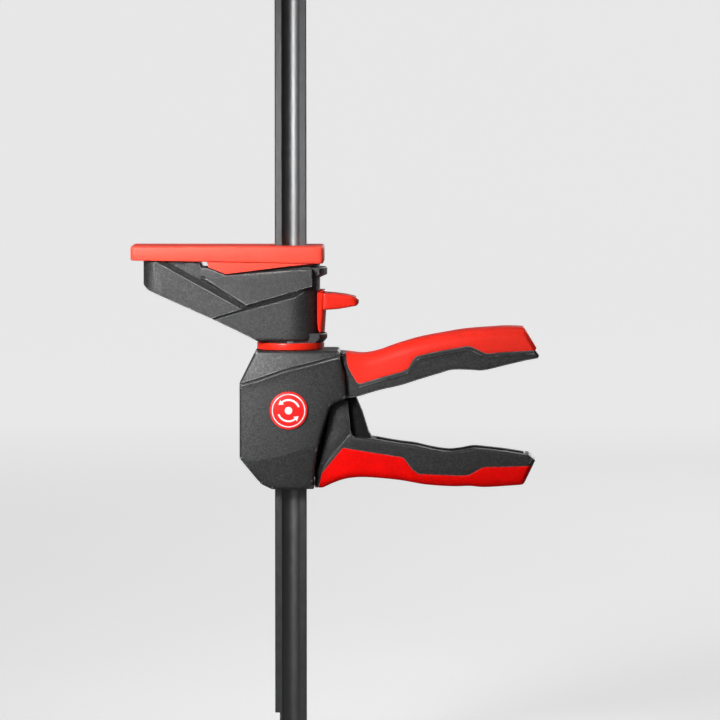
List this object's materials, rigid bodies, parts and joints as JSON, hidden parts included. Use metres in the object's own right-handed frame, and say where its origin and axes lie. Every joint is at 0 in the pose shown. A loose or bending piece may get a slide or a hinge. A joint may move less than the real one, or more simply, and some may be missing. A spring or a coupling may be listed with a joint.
{
  "type": "quick release bar clamp",
  "caption": "One-handed bar clamp: fixed and sliding jaws with soft pads on a grooved rail, swivelling trigger handle and thumb release lever.",
  "frame": {"origin": "centre of the rail's lower end, on the rail's axis", "axes": "+Z along the rail towards the fixed jaw; +X towards the handles; the jaws reach towards -X; the housing's front faces -Y"},
  "size_m": [0.2259, 0.0443, 0.5022],
  "materials": {
    "black_plastic": "fine grained glass-filled plastic",
    "guide_plastic": "smooth bearing plastic",
    "pad_red": "satin soft pad",
    "red_plastic": "gloss",
    "grip_red": "satin soft grip",
    "badge_red": "gloss",
    "rail_steel": "burnished dark steel",
    "pin_steel": "zinc plated",
    "spring_steel": "drawn wire",
    "hard_plate": "hardened and ground",
    "zinc_casting": "as cast"
  },
  "bodies": {
    "rail": {"rail": "rail_steel", "end_stop": "black_plastic", "end_stop_pin": "pin_steel", "fixed_jaw_body": "black_plastic", "fixed_pad": "pad_red", "lock_spring": "spring_steel"},
    "lock_button": {"lock_button": "red_plastic"},
    "moving_jaw": {"moving_jaw_body": "black_plastic", "moving_pad": "pad_red", "upper_guide_bush": "guide_plastic", "brake_fulcrum_pin": "pin_steel", "brake_springs": "spring_steel", "swivel_neck": "zinc_casting", "neck_screws": "pin_steel", "swivel_ring": "red_plastic", "lower_guide_bush": "guide_plastic", "return_spring": "spring_steel"},
    "release": {"brake_plates": "hard_plate", "release_lever": "red_plastic"},
    "drive": {"thrust_ring": "hard_plate", "drive_plates": "hard_plate"},
    "housing": {"housing_front": "black_plastic", "housing_rear": "black_plastic", "housing_screws": "pin_steel", "handle_core": "black_plastic", "handle_grip": "grip_red", "trigger_pin": "pin_steel", "badge": "badge_red"},
    "trigger": {"trigger_fork": "zinc_casting", "fork_rollers": "hard_plate", "trigger_neck": "black_plastic", "trigger_cover_front": "black_plastic", "trigger_cover_rear": "black_plastic", "trigger_grip": "grip_red"}
  },
  "joints": [
    {"name": "jaw_slide", "type": "slide", "parent": "rail", "child": "moving_jaw", "axis": [0, 0, 1], "range_m": [-0.1445, 0.1545]},
    {"name": "lock_press", "type": "slide", "parent": "rail", "child": "lock_button", "axis": [-1, 0, 0], "range_m": [0, 0.003], "stiffness_N_per_m": 800, "springref_m": -0.004, "deforming": ["lock_spring"]},
    {"name": "release_tip", "type": "hinge", "parent": "moving_jaw", "child": "release", "pos_m": [-0.014, 0, 0.251], "axis": [0, 1, 0], "range_deg": [0, 4.5], "stiffness_Nm_per_rad": 4, "springref_deg": -5.73, "deforming": ["brake_springs"]},
    {"name": "swivel", "type": "hinge", "parent": "moving_jaw", "child": "housing", "pos_m": [0, 0, 0.2358], "axis": [0, 0, 1], "continuous": true},
    {"name": "trigger_swing", "type": "hinge", "parent": "housing", "child": "trigger", "pos_m": [0.0245, 0, 0.219], "axis": [0, -1, 0], "range_deg": [0, 22], "stiffness_Nm_per_rad": 1, "springref_deg": -17.19},
    {"name": "drive_slide", "type": "slide", "parent": "moving_jaw", "child": "drive", "axis": [0, 0, -1], "range_m": [0, 0.0098], "deforming": ["return_spring"]}
  ],
  "couplings": [
    {"joint": "drive_slide", "follows": "trigger_swing", "m_per_rad": 0.0245}
  ]
}
